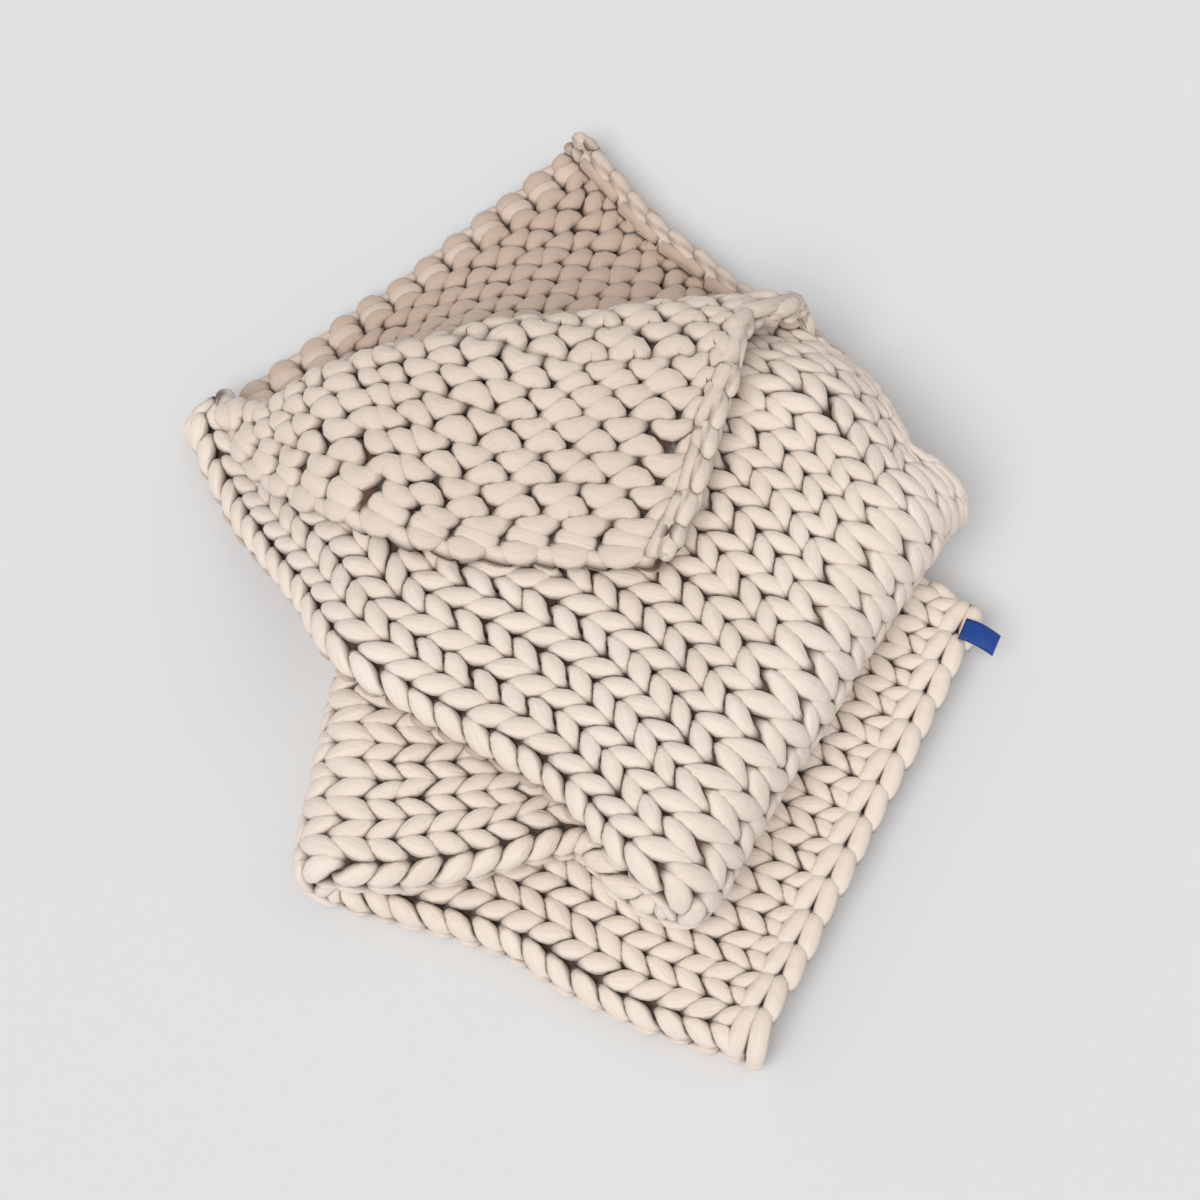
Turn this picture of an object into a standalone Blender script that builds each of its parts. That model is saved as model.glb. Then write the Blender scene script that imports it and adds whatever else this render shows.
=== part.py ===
"""Chunky hand-knitted weighted blanket, folded down its length and laid in three lays.

The cloth is knitted from one fat soft yarn. It is folded in half down its length with the
purl side in, so it is a double ribbon of two halves, A and B, joined along the near edge.
The ribbon lies zigzag: lay 1 on the floor, lay 2 back over it, lay 3 forward again on top.
At the end of lay 3 the free corner of half B is turned back over the top, purl side up.

Metres, +Z up. The origin is on the floor under the middle of the heap.
The cloth is mapped by two lengths: `along` from the cast-off end to the cast-on end, and
`across` from the lengthwise fold, negative on half A and positive on half B.
"""
import math

import bpy
import numpy as np

# the cloth, flat: 28 stitches wide, 14 on each half
HALF_WIDTH = 0.571          # lengthwise fold to one selvedge, 14 stitches of 40.8 mm
KNIT_THICK = 0.027          # one layer of the knit
LAYER_HALF_GAP = 0.016      # middle of the double ribbon to the middle of each half
FOLD_ARC = math.pi * LAYER_HALF_GAP / 2
RIBBON_EDGE = 0.030         # outer edge of the lengthwise fold to the ribbon's middle surface
FLOOR_BAND = 0.007          # what lies lower than this is pressed flat on the floor

# the three lays: outer edges of the double ribbon (near = the lengthwise fold, far = the two
# selvedges) and the height of its middle. From near to far the height goes from near_z to
# top_z within the share rise_to of the width, and from drop_from on it goes to far_z. Where the
# spreads are not 1 the stitches lie wider or closer than even at that edge.
LAY_COLUMNS = ("near_x", "near_y", "far_x", "far_y", "near_z", "top_z", "far_z", "rise_to", "drop_from",
               "near_spread", "far_spread")
LAY_ROWS = (
    ("cast_off",    0.165, -0.525,  0.410, -0.060, 0.031, 0.031, 0.031, 0.50, 0.50, 1.00, 1.00),
    ("lay1_a",      0.035, -0.485,  0.280,  0.005, 0.031, 0.031, 0.031, 0.50, 0.50, 1.12, 0.90),
    ("lay1_b",     -0.085, -0.415,  0.150,  0.055, 0.031, 0.031, 0.031, 0.50, 0.50, 1.22, 0.80),
    ("lay1_c",     -0.180, -0.385,  0.005,  0.100, 0.031, 0.031, 0.031, 0.50, 0.50, 1.25, 0.75),
    ("lay1_end",   -0.235, -0.370, -0.147,  0.102, 0.031, 0.031, 0.031, 0.50, 0.50, 1.25, 0.70),
    ("left_turn",),
    ("lay2_start", -0.235, -0.370, -0.147,  0.102, 0.095, 0.095, 0.095, 0.50, 0.50, 1.25, 0.70),
    ("lay2_a",     -0.120, -0.360,  0.010,  0.086, 0.095, 0.095, 0.095, 0.50, 0.50, 1.25, 0.70),
    ("lay2_b",     -0.010, -0.335,  0.178,  0.084, 0.095, 0.095, 0.085, 0.50, 0.80, 1.15, 0.70),
    ("lay2_end",    0.050, -0.395,  0.330,  0.065, 0.095, 0.095, 0.060, 0.50, 0.76, 1.10, 0.50),
    ("right_turn",),
    ("lay3_start",  0.050, -0.395,  0.330,  0.065, 0.175, 0.175, 0.136, 0.50, 0.74, 1.12, 0.45),
    ("lay3_a",      0.010, -0.350,  0.315,  0.100, 0.168, 0.172, 0.125, 0.50, 0.74, 1.12, 0.45),
    ("lay3_b",     -0.050, -0.290,  0.285,  0.175, 0.162, 0.166, 0.090, 0.50, 0.74, 1.10, 0.55),
    ("lay3_c",     -0.150, -0.230,  0.240,  0.270, 0.162, 0.162, 0.045, 0.40, 0.65, 1.05, 0.80),
    ("lay3_d",     -0.235, -0.175,  0.190,  0.325, 0.160, 0.162, 0.032, 0.20, 0.58, 1.00, 1.00),
    ("lay3_e",     -0.295, -0.075,  0.140,  0.375, 0.112, 0.160, 0.032, 0.20, 0.42, 1.00, 1.00),
    ("lay3_f",     -0.365,  0.035,  0.090,  0.420, 0.048, 0.118, 0.032, 0.30, 0.33, 1.00, 1.00),
    ("lay3_g",     -0.400,  0.105,  0.045,  0.475, 0.032, 0.055, 0.032, 0.32, 0.34, 1.00, 1.00),
    ("cast_on",    -0.420,  0.160,  0.005,  0.530, 0.032, 0.032, 0.032, 0.36, 0.40, 1.00, 1.00),
)
TURN_ANGLES = (45, 90, 135)         # degrees round a turn, between the rows beside it
NEAR, FAR = slice(0, 3), slice(3, 6)
TOP_Z, RISE_TO, DROP_FROM, NEAR_SPREAD, FAR_SPREAD = 6, 7, 8, 9, 10

# half B's corner, turned back about a curve from the cast-on corner of the lengthwise fold
CORNER_WIDTH = 0.540        # the cast-on edge of half B
FOLD_DISTANCES = (0.0, 0.08, 0.16, 0.24, 0.32, 0.44, 0.6, 0.8)       # from that corner
FOLD_ANGLES = (60.0, 50.0, 48.5, 47.0, 44.0, 40.0, 37.0, 37.0)     # degrees, cast-on edge to fold
BEYOND_SHARES = (0.8, 0.72, 0.68, 0.72, 0.8, 0.93, 0.96, 0.96)     # of its angle, for what lies beyond
ROLL_SMALL, ROLL_LARGE = 0.021, 0.023       # radius of the fold, at its tip and at the selvedge
ROLL_GROWS = (0.060, 0.380)         # distances from the tip over which the radius grows
CORNER_HEIGHT = 0.031       # middle of the turned-back corner over the middle of half B
CORNER_SETTLE = 0.110       # length in which it comes down to that height
CORNER_EASE = 0.17, 0.340   # how far the turned corner has stretched, and within what length
BRIDGE_LIFT = 0.008         # half B stands this much higher along the fold line
BRIDGE_REACH = (0.150, 0.420)
BRIDGE_SPREAD = math.radians(38)
BRIDGE_RUN = (0.600, 0.420)         # lengths before the cast-on edge where the lift grows
B_INSET = 0.12              # half B's selvedge lies this share of the width inside half A's
B_INSET_RUN = (0.520, 0.330)        # lengths before the cast-on edge where the inset grows

# selvedges that roll towards the purl side: half A's, and that of the turned-back corner
CURL_WIDTH, CURL_RADIUS = 0.046, 0.021
CURL_RUN_A = (0.480, 0.380)
CURL_RUN_B = (0.300, 0.120)

# grid of the solid: rows from each section of the lays to the next, and columns
ROW_STEPS = (2, 2, 2, 2,  1, 1, 1, 1,  2, 2, 2,  1, 1, 1, 1,  1, 2, 2, 4, 6, 8, 6, 6)
ACROSS_A, ACROSS_FOLD, ACROSS_B, ACROSS_CURL = 12, 4, 24, 3
SLOPE_STEP = 0.0015         # length over which slopes are measured

# label, a folded woven tab on the corner of lay 1
LABEL_SIZE = (0.038, 0.024, 0.0016)
LABEL_SPOT = (0.392, -0.094)
LABEL_TURN = math.radians(-24)
PIECE_GAP = 0.0003


def unit(vectors):
    return vectors / np.linalg.norm(vectors, axis=-1, keepdims=True)


def ease(value, start, stop):
    t = np.clip((value - start) / (stop - start), 0, 1)
    return t * t * (3 - 2 * t)


def lay_sections():
    """Each section as near x, y, z, far x, y, z and the other columns, and the slopes at the turns."""
    rows = []
    for row in LAY_ROWS:
        if len(row) == 1:
            rows.append(None)
            continue
        size = dict(zip(LAY_COLUMNS, row[1:]))
        near = np.array([size["near_x"], size["near_y"], size["near_z"]])
        far = np.array([size["far_x"], size["far_y"], size["far_z"]])
        near += RIBBON_EDGE * unit((far - near) * (1, 1, 0))
        rows.append(np.array([*near, *far, *(size[name] for name in LAY_COLUMNS[5:6] + LAY_COLUMNS[7:])]))
    sections, turns = [], {}
    for index, row in enumerate(rows):
        if row is None:
            start = len(sections) - 1
            sections += turn_sections(rows[index - 2], rows[index - 1], rows[index + 1], start, turns)
        else:
            sections.append(row)
    return np.array(sections), turns


def smooth(value, places, heights):
    """A smooth curve through the given heights."""
    places, heights = np.array(places), np.array(heights)
    k = np.clip(np.searchsorted(places, value) - 1, 0, len(places) - 2)
    slopes = np.gradient(heights, places)
    h = places[k + 1] - places[k]
    u = np.clip((value - places[k]) / h, 0, 1)
    return ((2 * u**3 - 3 * u**2 + 1) * heights[k] + (3 * u**2 - 2 * u**3) * heights[k + 1]
            + (u**3 - 2 * u**2 + u) * h * slopes[k] + (u**3 - u**2) * h * slopes[k + 1])


def turn_sections(before, lower, upper, start, turns):
    """Sections round a half circle from the lower lay up to the upper one."""
    line = unit((lower[FAR] - lower[NEAR]) * (1, 1, 0))
    outward = np.array([line[1], -line[0], 0])
    if np.dot(outward, lower[NEAR] - before[NEAR]) < 0:
        outward = -outward
    found = []
    for count, angle in enumerate((0, *TURN_ANGLES, 180)):
        turn = math.radians(angle)
        section = (lower + upper) / 2
        slope = np.zeros_like(section)
        for part in (NEAR, FAR):
            radius = (upper[part][2] - lower[part][2]) / 2
            section[part] += outward * radius * math.sin(turn)
            section[part.stop - 1] -= radius * math.cos(turn)
            slope[part] = outward * math.cos(turn) + np.array([0, 0, math.sin(turn)])
        section[TOP_Z] -= (upper[TOP_Z] - lower[TOP_Z]) / 2 * math.cos(turn)
        slope[TOP_Z] = math.sin(turn)
        turns[start + count] = slope
        found.append(section)
    return found[1:-1]


class Ribbon:
    """Middle surface of the double ribbon, evenly knitted along every wale."""

    GRID = (401, 21)

    def __init__(self):
        self.sections, turns = lay_sections()
        steps = np.diff(self.sections, axis=0)
        spans = (np.linalg.norm(steps[:, NEAR], axis=1) + np.linalg.norm(steps[:, FAR], axis=1)) / 2
        self.knots = np.concatenate([[0], np.cumsum(spans)])
        slopes = steps / spans[:, None]
        weight = (spans[1:] / (spans[1:] + spans[:-1]))[:, None]
        inner = slopes[:-1] * weight + slopes[1:] * (1 - weight)
        self.slopes = np.concatenate([slopes[:1], inner, slopes[-1:]])
        for index, slope in turns.items():
            self.slopes[index] = slope
        self.measure()

    def ruled(self, knot, w):
        """A point by section value and share of the width."""
        k = np.clip(np.searchsorted(self.knots, knot, side="right") - 1, 0, len(self.knots) - 2)
        h = self.knots[k + 1] - self.knots[k]
        u = ((knot - self.knots[k]) / h)[..., None]
        h = h[..., None]
        line = ((2 * u**3 - 3 * u**2 + 1) * self.sections[k] + (3 * u**2 - 2 * u**3) * self.sections[k + 1]
                + (u**3 - 2 * u**2 + u) * h * self.slopes[k] + (u**3 - u**2) * h * self.slopes[k + 1])
        share = (w * w * (3 - 2 * w) + line[..., NEAR_SPREAD] * w * (1 - w) ** 2
                 - line[..., FAR_SPREAD] * w * w * (1 - w))[..., None]
        point = line[..., NEAR] * (1 - share) + line[..., FAR] * share
        near_z, far_z, top_z = line[..., 2], line[..., 5], line[..., TOP_Z]
        point[..., 2] = (near_z + (top_z - near_z) * ease(w, 0, line[..., RISE_TO])
                         + (far_z - top_z) * ease(w, line[..., DROP_FROM], 1))
        return point

    def measure(self):
        rows, columns = self.GRID
        knots = np.linspace(0, self.knots[-1], rows)
        widths = np.linspace(0, 1, columns)
        points = self.ruled(knots[:, None] + 0 * widths, widths + 0 * knots[:, None])
        runs = np.cumsum(np.linalg.norm(np.diff(points, axis=0), axis=2), axis=0)
        runs = np.concatenate([np.zeros((1, columns)), runs])
        self.length = runs[-1].mean()
        self.stretches = runs[-1] / self.length
        shares = np.linspace(0, 1, rows)
        self.table = np.stack([np.interp(shares, runs[:, j] / runs[-1, j], knots)
                               for j in range(columns)], 1)

    def stretch(self, w):
        """How much longer the wale at this share of the width is than the mean."""
        return np.interp(w, np.linspace(0, 1, self.GRID[1]), self.stretches)

    def point(self, along, w):
        rows, columns = self.GRID
        w = np.clip(w, 0, 1)
        a = np.clip(along / self.length, 0, 1) * (rows - 1)
        b = w * (columns - 1)
        i = np.minimum(a.astype(int), rows - 2)
        j = np.minimum(b.astype(int), columns - 2)
        x, y, table = a - i, b - j, self.table
        knot = (table[i, j] * (1 - x) * (1 - y) + table[i + 1, j] * x * (1 - y)
                + table[i, j + 1] * (1 - x) * y + table[i + 1, j + 1] * x * y)
        return self.ruled(knot, w)

    def along(self, knots, w):
        """The length along one wale at which it meets each of the section values."""
        rows, columns = self.GRID
        j = min(int(w * (columns - 1)), columns - 2)
        share = w * (columns - 1) - j
        column = self.table[:, j] * (1 - share) + self.table[:, j + 1] * share
        return self.length * np.interp(knots, column, np.linspace(0, 1, rows))

    def frame(self, along, w):
        """The point, the way square to the wale, to the selvedges, and the way up from lay 1."""
        step = 0.01
        forward = (self.point(np.clip(along + SLOPE_STEP, 0, self.length), w)
                   - self.point(np.clip(along - SLOPE_STEP, 0, self.length), w))
        sideways = unit(self.point(along, np.clip(w + step, 0, 1)) - self.point(along, np.clip(w - step, 0, 1)))
        up = unit(np.cross(sideways, forward))
        return self.point(along, w), unit(np.cross(forward, up)), up


RIBBON = Ribbon()
LENGTH = RIBBON.length


def polar(along, across):
    """Distance and angle from the cast-on corner of the lengthwise fold, as the cloth lies."""
    w = np.clip((np.abs(across) - FOLD_ARC) / (HALF_WIDTH - FOLD_ARC), 0, 1)
    x, y = (LENGTH - along) * RIBBON.stretch(w), w * CORNER_WIDTH
    return np.hypot(x, y), np.arctan2(x, np.maximum(y, 1e-9))


def fold_angle(distance):
    return np.radians(smooth(distance, FOLD_DISTANCES, FOLD_ANGLES))


def double_ribbon(along, across):
    """Both halves round the lengthwise fold, before the corner is turned back."""
    a = np.abs(across)
    on_b = across > 0
    w = np.clip((a - FOLD_ARC) / (HALF_WIDTH - FOLD_ARC), 0, 1)
    inset = B_INSET * ease(along, LENGTH - B_INSET_RUN[0], LENGTH - B_INSET_RUN[1]) * on_b
    point, sideways, up = RIBBON.frame(along, w * (1 - inset))
    turn = np.clip(a / LAYER_HALF_GAP, 0, math.pi / 2)
    beside = np.where(a < FOLD_ARC, -LAYER_HALF_GAP * np.cos(turn), 0)
    over = LAYER_HALF_GAP * np.sin(turn) * np.where(on_b, 1, -1)
    point = point + sideways * beside[..., None] + up * over[..., None]
    distance, angle = polar(along, across)
    point[..., 2] += (BRIDGE_LIFT * ease(distance, *BRIDGE_REACH) * on_b
                      * ease(along, LENGTH - BRIDGE_RUN[0], LENGTH - BRIDGE_RUN[1])
                      * (1 - ease(angle - fold_angle(distance), 0, BRIDGE_SPREAD)))
    return point


def knit_side(surface, along, across):
    """Unit normal on the knit side of a surface given as a function of along and across."""
    step = SLOPE_STEP
    forward = (surface(np.clip(along + step, 0, LENGTH), across)
               - surface(np.clip(along - step, 0, LENGTH), across))
    sideways = (surface(along, np.clip(across + step, -HALF_WIDTH, HALF_WIDTH))
                - surface(along, np.clip(across - step, -HALF_WIDTH, HALF_WIDTH)))
    return unit(np.cross(sideways, forward))


def turned_back(along, across):
    """The double ribbon with half B's free corner turned back over lay 3."""
    point = double_ribbon(along, across)
    distance, angle = polar(along, across)
    roll = ROLL_SMALL + (ROLL_LARGE - ROLL_SMALL) * ease(distance, *ROLL_GROWS)
    start = roll * (1 - np.exp(-(distance / (1.2 * roll)) ** 2))
    bend = fold_angle(distance)
    arc = distance * (bend - angle) + start
    turned = (arc > 0) & (across > FOLD_ARC)
    if not turned.any():
        return point
    arc, roll, start, distance, bend = (value[turned] for value in (arc, roll, start, distance, bend))
    past = np.maximum(arc - math.pi * roll, 0)
    share = smooth(distance, FOLD_DISTANCES, BEYOND_SHARES)
    back = np.where(past > 0, -share * past, roll * np.sin(np.minimum(arc / roll, math.pi)))
    fade = np.exp(-(past / CORNER_SETTLE) ** 2)
    height = np.where(past > 0, 2 * roll * fade + CORNER_HEIGHT * (1 - fade),
                      roll * (1 - np.cos(np.minimum(arc / roll, math.pi))))
    lands = bend + (start - back) / np.maximum(distance, 1e-6)
    reach = distance * (1 + CORNER_EASE[0] * ease(past, 0, CORNER_EASE[1]))
    w = np.clip(reach * np.cos(lands) / CORNER_WIDTH, -0.045, 1)
    below_along = np.minimum(LENGTH - reach * np.sin(lands) / RIBBON.stretch(np.maximum(w, 0)), LENGTH)
    below_across = np.maximum(FOLD_ARC + w * (HALF_WIDTH - FOLD_ARC), FOLD_ARC * 0.2)
    below = double_ribbon(below_along, below_across)
    point[turned] = below + knit_side(double_ribbon, below_along, below_across) * height[:, None]
    return point


def cloth(along, across):
    """Middle of the knit, everywhere, with the rolled selvedges."""
    along, across = np.broadcast_arrays(np.asarray(along, float), np.asarray(across, float))
    point = turned_back(along, across)
    bend = (ease(along, LENGTH - CURL_RUN_A[0], LENGTH - CURL_RUN_A[1]) * (across < 0)
            + ease(along, LENGTH - CURL_RUN_B[0], LENGTH - CURL_RUN_B[1]) * (across > 0)) / CURL_RADIUS
    rolled = (np.abs(across) > HALF_WIDTH - CURL_WIDTH) & (bend > 1e-2)
    if not rolled.any():
        return point
    at, bend, side = along[rolled], bend[rolled], np.sign(across[rolled])
    root = side * (HALF_WIDTH - CURL_WIDTH)
    start = turned_back(at, root)
    outward = unit(start - turned_back(at, root - side * SLOPE_STEP))
    forward = (turned_back(np.clip(at + SLOPE_STEP, 0, LENGTH), root)
               - turned_back(np.clip(at - SLOPE_STEP, 0, LENGTH), root))
    knit = unit(np.cross(outward * side[:, None], forward))
    turn = (np.abs(across[rolled]) - np.abs(root)) * bend
    point[rolled] = start + outward * (np.sin(turn) / bend)[:, None] - knit * ((1 - np.cos(turn)) / bend)[:, None]
    return point


def grid_points():
    """Where the solid's grid lies along and across the cloth: its rows follow the sections."""
    curl = HALF_WIDTH - CURL_WIDTH
    across = list(np.linspace(-HALF_WIDTH, -curl, ACROSS_CURL + 1))
    across += list(np.linspace(-curl, -FOLD_ARC, ACROSS_A + 1)[1:])
    across += list(np.linspace(-FOLD_ARC, FOLD_ARC, ACROSS_FOLD + 1)[1:])
    across += list(np.linspace(FOLD_ARC, curl, ACROSS_B + 1)[1:])
    across += list(np.linspace(curl, HALF_WIDTH, ACROSS_CURL + 1)[1:])
    across = np.array(across)
    knots = [0.0]
    for start, stop, steps in zip(RIBBON.knots[:-1], RIBBON.knots[1:], ROW_STEPS):
        knots += list(np.linspace(start, stop, steps + 1)[1:])
    widths = np.clip((np.abs(across) - FOLD_ARC) / (HALF_WIDTH - FOLD_ARC), 0, 1)
    along = np.stack([RIBBON.along(np.array(knots), w) for w in widths], 1)
    return along, across + 0 * along


def cloth_solid():
    """One closed solid: the cloth's two faces and the rim between them."""
    a, b = grid_points()
    rows, columns = a.shape
    middle = cloth(a, b)
    knit = knit_side(cloth, a, b)
    faces = [middle + knit * KNIT_THICK / 2, middle - knit * KNIT_THICK / 2]
    points = np.concatenate([face.reshape(-1, 3) for face in faces])
    low = points[:, 2] < FLOOR_BAND
    points[low, 2] = 0
    count = rows * columns

    def index(row, column, layer=0):
        return layer * count + row * columns + column

    quads = []
    for i in range(rows - 1):
        for j in range(columns - 1):
            corners = (index(i, j), index(i, j + 1), index(i + 1, j + 1), index(i + 1, j))
            quads.append(corners)
            quads.append(tuple(corner + count for corner in reversed(corners)))
    for j in range(columns - 1):
        quads.append((index(0, j + 1), index(0, j), index(0, j, 1), index(0, j + 1, 1)))
        last = rows - 1
        quads.append((index(last, j), index(last, j + 1), index(last, j + 1, 1), index(last, j, 1)))
    for i in range(rows - 1):
        quads.append((index(i, 0), index(i + 1, 0), index(i + 1, 0, 1), index(i, 0, 1)))
        last = columns - 1
        quads.append((index(i + 1, last), index(i, last), index(i, last, 1), index(i + 1, last, 1)))
    return points, quads


def soft_material(name, colour, roughness):
    material = bpy.data.materials.new(name)
    material.use_nodes = True
    shader = material.node_tree.nodes["Principled BSDF"]
    shader.inputs["Base Color"].default_value = colour
    shader.inputs["Roughness"].default_value = roughness
    shader.inputs["Metallic"].default_value = 0.0
    return material


def add_object(name, points, quads, material):
    mesh = bpy.data.meshes.new(name)
    mesh.from_pydata([tuple(point) for point in points], [], quads)
    mesh.validate()
    mesh.update()
    mesh.materials.append(material)
    thing = bpy.data.objects.new(name, mesh)
    bpy.context.scene.collection.objects.link(thing)
    return thing


def make_blanket():
    yarn = soft_material("beige_cotton_knit", (0.70, 0.61, 0.53, 1), 0.9)
    points, quads = cloth_solid()
    blanket = add_object("knit_blanket", points, quads, yarn)
    blanket.data.shade_smooth()
    return blanket


def make_label():
    """A flat folded tab on top of lay 1, at its far corner."""
    blue = soft_material("blue_woven_tape", (0.008, 0.065, 0.26, 1), 0.7)
    length, width, thick = LABEL_SIZE
    top = RIBBON.sections[0][TOP_Z] + LAYER_HALF_GAP + KNIT_THICK / 2
    level = top + PIECE_GAP
    corners = [(x * length / 2, y * width / 2) for x, y in ((-1, -1), (1, -1), (1, 1), (-1, 1))]
    points = []
    for height in (level, level + thick):
        for x, y in corners:
            points.append((LABEL_SPOT[0] + x * math.cos(LABEL_TURN) - y * math.sin(LABEL_TURN),
                           LABEL_SPOT[1] + x * math.sin(LABEL_TURN) + y * math.cos(LABEL_TURN), height))
    quads = [(3, 2, 1, 0), (4, 5, 6, 7)]
    quads += [(k, (k + 1) % 4, (k + 1) % 4 + 4, k + 4) for k in range(4)]
    return add_object("label", points, quads, blue)


for old in list(bpy.data.objects):
    bpy.data.objects.remove(old, do_unlink=True)
make_blanket()
make_label()
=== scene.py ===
import math

import bpy
import numpy as np
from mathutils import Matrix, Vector


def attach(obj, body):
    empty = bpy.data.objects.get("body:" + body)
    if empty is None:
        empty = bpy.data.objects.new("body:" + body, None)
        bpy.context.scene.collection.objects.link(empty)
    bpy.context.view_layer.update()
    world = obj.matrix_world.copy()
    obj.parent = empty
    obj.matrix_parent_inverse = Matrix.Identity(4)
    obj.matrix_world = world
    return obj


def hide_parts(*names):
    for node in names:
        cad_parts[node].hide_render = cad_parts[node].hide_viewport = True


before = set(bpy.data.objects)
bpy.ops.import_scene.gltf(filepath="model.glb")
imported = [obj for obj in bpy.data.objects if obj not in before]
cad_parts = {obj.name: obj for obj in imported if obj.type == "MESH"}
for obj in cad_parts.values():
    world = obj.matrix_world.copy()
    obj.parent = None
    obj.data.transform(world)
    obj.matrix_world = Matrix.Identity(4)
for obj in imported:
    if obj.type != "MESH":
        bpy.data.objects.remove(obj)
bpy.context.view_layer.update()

randomSource = np.random.default_rng(45)

# the folded cloth, without its stitches, in metres: along runs from the cast-off end to the cast-on end,
# across from the lengthwise fold
cloth = {
    "halfWidth": 0.571,
    "layerHalfGap": 0.016,        # middle of the double ribbon to the middle of one half
    "ribbonEdge": 0.030,
    "slopeStep": 0.0015,
    "waveHeight": 0.0028,         # soft unevenness of the whole heap
}
halfWidth, layerGap = cloth["halfWidth"], cloth["layerHalfGap"]
foldArc = math.pi * layerGap / 2

# near x, near y, far x, far y, height near, on top, far, share it rises to, share it drops from,
# and how widely the stitches are spread at the near edge and at the far one
lays = (
    (0.165, -0.525, 0.410, -0.060, 0.031, 0.031, 0.031, 0.50, 0.50, 1.00, 1.00),   # cast-off edge
    (0.035, -0.485, 0.280, 0.005, 0.031, 0.031, 0.031, 0.50, 0.50, 1.12, 0.90),
    (-0.085, -0.415, 0.150, 0.055, 0.031, 0.031, 0.031, 0.50, 0.50, 1.22, 0.80),
    (-0.180, -0.385, 0.005, 0.100, 0.031, 0.031, 0.031, 0.50, 0.50, 1.25, 0.75),
    (-0.235, -0.370, -0.147, 0.102, 0.031, 0.031, 0.031, 0.50, 0.50, 1.25, 0.70),
    None,                                                                          # left turn
    (-0.235, -0.370, -0.147, 0.102, 0.095, 0.095, 0.095, 0.50, 0.50, 1.25, 0.70),
    (-0.120, -0.360, 0.010, 0.086, 0.095, 0.095, 0.095, 0.50, 0.50, 1.25, 0.70),
    (-0.010, -0.335, 0.178, 0.084, 0.095, 0.095, 0.085, 0.50, 0.80, 1.15, 0.70),
    (0.050, -0.395, 0.330, 0.065, 0.095, 0.095, 0.060, 0.50, 0.76, 1.10, 0.50),
    None,                                                                          # right turn
    (0.050, -0.395, 0.330, 0.065, 0.175, 0.175, 0.136, 0.50, 0.74, 1.12, 0.45),
    (0.010, -0.350, 0.315, 0.100, 0.168, 0.172, 0.125, 0.50, 0.74, 1.12, 0.45),
    (-0.050, -0.290, 0.285, 0.175, 0.162, 0.166, 0.090, 0.50, 0.74, 1.10, 0.55),
    (-0.150, -0.230, 0.240, 0.270, 0.162, 0.162, 0.045, 0.40, 0.65, 1.05, 0.80),
    (-0.235, -0.175, 0.190, 0.325, 0.160, 0.162, 0.032, 0.20, 0.58, 1.00, 1.00),
    (-0.295, -0.075, 0.140, 0.375, 0.112, 0.160, 0.032, 0.20, 0.42, 1.00, 1.00),
    (-0.365, 0.035, 0.090, 0.420, 0.048, 0.118, 0.032, 0.30, 0.33, 1.00, 1.00),
    (-0.400, 0.105, 0.045, 0.475, 0.032, 0.055, 0.032, 0.32, 0.34, 1.00, 1.00),
    (-0.420, 0.160, 0.005, 0.530, 0.032, 0.032, 0.032, 0.36, 0.40, 1.00, 1.00),    # cast-on edge
)
turnAngles = (0, 45, 90, 135, 180)
near, far = slice(0, 3), slice(3, 6)

# the corner of the upper half, turned back over the heap
corner = {
    "width": 0.540,
    # the fold line's angle to the cast-on edge, and the turned part's share of it beyond, by distance
    "distances": (0.0, 0.08, 0.16, 0.24, 0.32, 0.44, 0.60, 0.80),
    "angles": (60.0, 50.0, 48.5, 47.0, 44.0, 40.0, 37.0, 37.0),
    "shares": (0.80, 0.72, 0.68, 0.72, 0.80, 0.93, 0.96, 0.96),
    "rollSmall": 0.021, "rollLarge": 0.023, "rollGrows": (0.060, 0.380),
    "height": 0.031, "settle": 0.110,
    "stretch": 0.17, "stretchLength": 0.340,
    "lift": 0.008, "liftReach": (0.150, 0.420), "liftSpread": math.radians(38), "liftRun": (0.600, 0.420),
    "inset": 0.12, "insetRun": (0.520, 0.330),
}
curl = {"width": 0.046, "radius": 0.021, "runLower": (0.480, 0.380), "runUpper": (0.300, 0.120)}


def unit(vectors):
    return vectors / np.linalg.norm(vectors, axis=-1, keepdims=True)


def ease(value, start, stop):
    t = np.clip((value - start) / (stop - start), 0, 1)
    return t * t * (3 - 2 * t)


def smooth(value, places, heights):
    # a smooth curve through the given heights
    places, heights = np.array(places), np.array(heights)
    k = np.clip(np.searchsorted(places, value) - 1, 0, len(places) - 2)
    slopes = np.gradient(heights, places)
    h = places[k + 1] - places[k]
    u = np.clip((value - places[k]) / h, 0, 1)
    return ((2 * u**3 - 3 * u**2 + 1) * heights[k] + (3 * u**2 - 2 * u**3) * heights[k + 1]
            + (u**3 - 2 * u**2 + u) * h * slopes[k] + (u**3 - u**2) * h * slopes[k + 1])


def sampled(table, i, j):
    # the table at places between its rows and columns
    row = np.minimum(i.astype(int), table.shape[0] - 2)
    column = np.minimum(j.astype(int), table.shape[1] - 2)
    x, y = i - row, j - column
    return (table[row, column] * (1 - x) * (1 - y) + table[row + 1, column] * x * (1 - y)
            + table[row, column + 1] * (1 - x) * y + table[row + 1, column + 1] * x * y)


def evened(table, rounds):
    # the table without its sharp changes
    for axis in (0, 1) * rounds:
        edge = np.pad(table, [(1, 1) if axis == k else (0, 0) for k in (0, 1)], mode="edge")
        table = (edge.take(range(0, table.shape[axis]), axis) + 2 * table
                 + edge.take(range(2, table.shape[axis] + 2), axis)) / 4
    return table


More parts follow.
